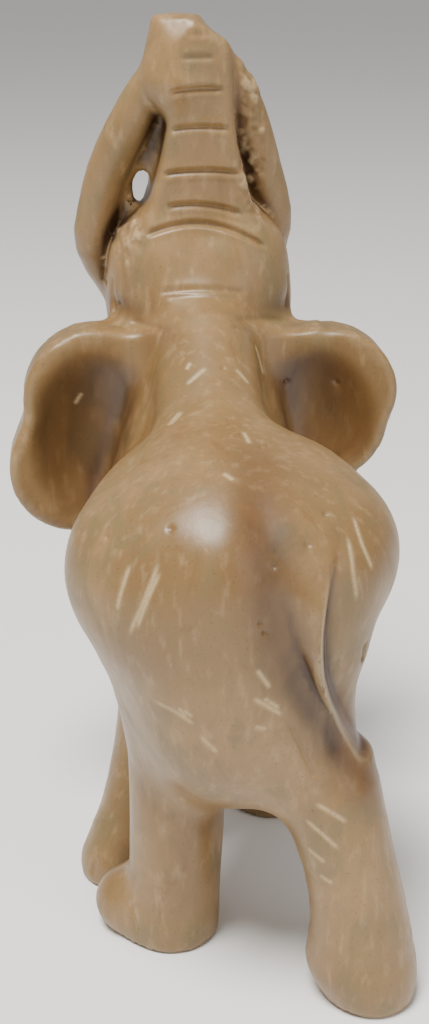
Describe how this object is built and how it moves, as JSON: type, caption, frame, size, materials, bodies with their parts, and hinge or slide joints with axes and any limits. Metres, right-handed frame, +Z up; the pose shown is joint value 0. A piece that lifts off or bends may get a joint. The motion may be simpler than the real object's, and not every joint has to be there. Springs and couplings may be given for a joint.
{
  "type": "carved elephant figurine",
  "caption": "Carved soapstone elephant in mid-stride, head thrown back, trunk and tusks raised, hollow-backed ears, standing on its own feet.",
  "frame": {"origin": "middle of the bounding box at the plane of the four soles", "axes": "+Z up, +Y the way the elephant faces, +X to the elephant's right"},
  "size_m": [0.0686, 0.097, 0.15],
  "materials": {
    "soapstone": "hand-rubbed soapstone: warm tan with grey-green and rust-brown mottling, satin polish, pale scratches"
  },
  "bodies": {
    "root": {"elephant": "soapstone"}
  },
  "joints": []
}
